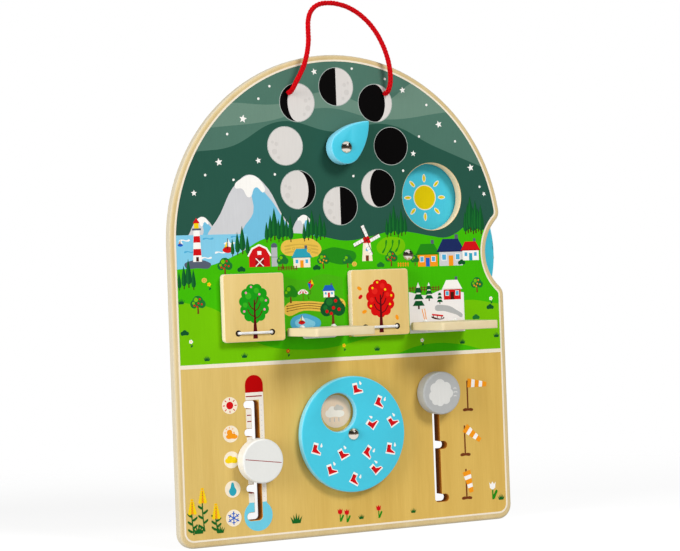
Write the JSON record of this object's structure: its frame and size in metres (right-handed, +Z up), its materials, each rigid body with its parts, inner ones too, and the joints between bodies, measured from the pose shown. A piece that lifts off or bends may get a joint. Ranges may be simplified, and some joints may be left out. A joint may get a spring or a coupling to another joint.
{
  "type": "weather board",
  "caption": "Arched wooden weather board on a rope loop, with a moon pointer, day and night disc, fold-down season doors, thermometer slider, rain wheel and wind slider.",
  "frame": {"origin": "middle of the panel's bottom edge, half way through its thickness", "axes": "+Z up the panel, +Y out of its back, +X to the right seen from the front"},
  "size_m": [0.3, 0.0723, 0.4291],
  "materials": {
    "plywood": "clear satin lacquer, printed front",
    "blue_wood": "satin paint",
    "disc_wood": "satin print",
    "white_wood": "satin paint",
    "grey_wood": "satin paint",
    "door_wood": "clear satin lacquer, printed face",
    "bare_wood": "clear satin lacquer",
    "chrome": "polished",
    "nylon": "satin",
    "steel": "satin",
    "rope": "braided",
    "elastic": "braided"
  },
  "bodies": {
    "board": {"board": "plywood", "rope_loop": "rope", "rope_knot_left": "rope", "rope_knot_right": "rope", "moon_rivet": "chrome", "moon_spacer": "nylon", "moon_washer": "steel", "disc_rivet": "chrome", "disc_spacer": "nylon", "disc_washer": "steel", "rain_rivet": "chrome", "rain_spacer": "nylon", "rain_washer": "steel", "spring_elastic_ends": "elastic", "summer_elastic_ends": "elastic", "autumn_elastic_ends": "elastic", "winter_elastic_ends": "elastic"},
    "moon_pointer": {"moon_pointer": "blue_wood"},
    "day_night_disc": {"day_night_disc": "disc_wood"},
    "rain_wheel": {"rain_wheel": "blue_wood"},
    "spring_door": {"spring_door": "door_wood", "spring_elastic": "elastic"},
    "summer_door": {"summer_door": "door_wood", "summer_elastic": "elastic"},
    "autumn_door": {"autumn_door": "door_wood", "autumn_elastic": "elastic"},
    "winter_door": {"winter_door": "door_wood", "winter_elastic": "elastic"},
    "thermometer_slider": {"thermometer_knob": "white_wood", "thermometer_pin": "bare_wood", "thermometer_retainer": "bare_wood"},
    "wind_slider": {"wind_knob": "grey_wood", "wind_pin": "bare_wood", "wind_retainer": "bare_wood"}
  },
  "joints": [
    {"name": "moon_turn", "type": "hinge", "parent": "board", "child": "moon_pointer", "pos_m": [0, -0.01265, 0.3105], "axis": [0, 1, 0], "continuous": true},
    {"name": "disc_turn", "type": "hinge", "parent": "board", "child": "day_night_disc", "pos_m": [0.06, 0.00815, 0.223], "axis": [0, 1, 0], "continuous": true},
    {"name": "rain_turn", "type": "hinge", "parent": "board", "child": "rain_wheel", "pos_m": [0, -0.0089, 0.0805], "axis": [0, 1, 0], "continuous": true},
    {"name": "spring_door_hinge", "type": "hinge", "parent": "board", "child": "spring_door", "pos_m": [-0.083, -0.0096, 0.1631], "axis": [1, 0, 0], "range_deg": [0, 90]},
    {"name": "summer_door_hinge", "type": "hinge", "parent": "board", "child": "summer_door", "pos_m": [-0.027, -0.0096, 0.1631], "axis": [1, 0, 0], "range_deg": [-90, 0]},
    {"name": "autumn_door_hinge", "type": "hinge", "parent": "board", "child": "autumn_door", "pos_m": [0.029, -0.0096, 0.1631], "axis": [1, 0, 0], "range_deg": [0, 90]},
    {"name": "winter_door_hinge", "type": "hinge", "parent": "board", "child": "winter_door", "pos_m": [0.085, -0.0096, 0.1631], "axis": [1, 0, 0], "range_deg": [-90, 0]},
    {"name": "thermometer_slide", "type": "slide", "parent": "board", "child": "thermometer_slider", "axis": [0, 0, 1], "range_m": [-0.044, 0.044]},
    {"name": "wind_slide", "type": "slide", "parent": "board", "child": "wind_slider", "axis": [0, 0, 1], "range_m": [-0.087, 0]}
  ]
}
